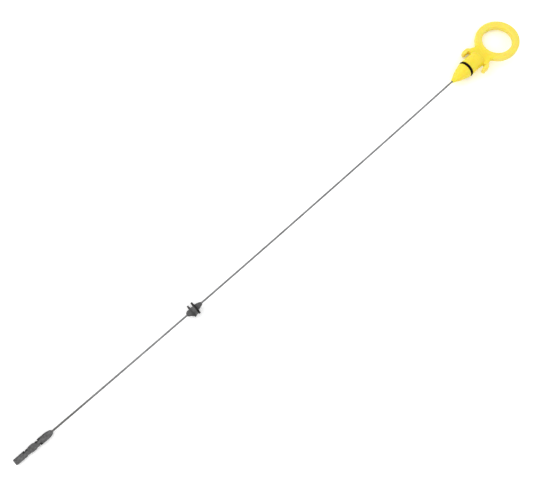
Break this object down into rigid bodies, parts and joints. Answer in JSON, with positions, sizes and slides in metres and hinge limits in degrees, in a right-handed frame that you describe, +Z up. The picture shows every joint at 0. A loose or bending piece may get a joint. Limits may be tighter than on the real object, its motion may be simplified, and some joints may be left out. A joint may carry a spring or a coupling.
{
  "type": "engine oil dipstick",
  "caption": "Oil level dipstick: finger-ring handle with sealed plug, stiff twisted steel cable, double-flange guide stop and a flat notched level blade.",
  "frame": {"origin": "middle of the outline in X and Y, on the ground that the dipstick lies on", "axes": "+X along the cable towards the handle, +Z up from the ground, +Y across"},
  "size_m": [0.5101, 0.0354, 0.0139],
  "materials": {
    "yellow_plastic": "injection-moulded, satin gloss, bright signal yellow",
    "black_rubber": "smooth moulded nitrile rubber, oil damp",
    "cable_steel": "bright drawn wires, twisted in strands",
    "ferrule_steel": "plain crimped steel, hidden in the moulding",
    "dark_plastic": "injection-moulded, matt, dark grey"
  },
  "bodies": {
    "root": {"handle": "yellow_plastic", "seal_ring": "black_rubber", "cable": "cable_steel", "crimp_ferrule": "ferrule_steel", "guide_stop": "dark_plastic", "level_blade": "dark_plastic"}
  },
  "joints": []
}
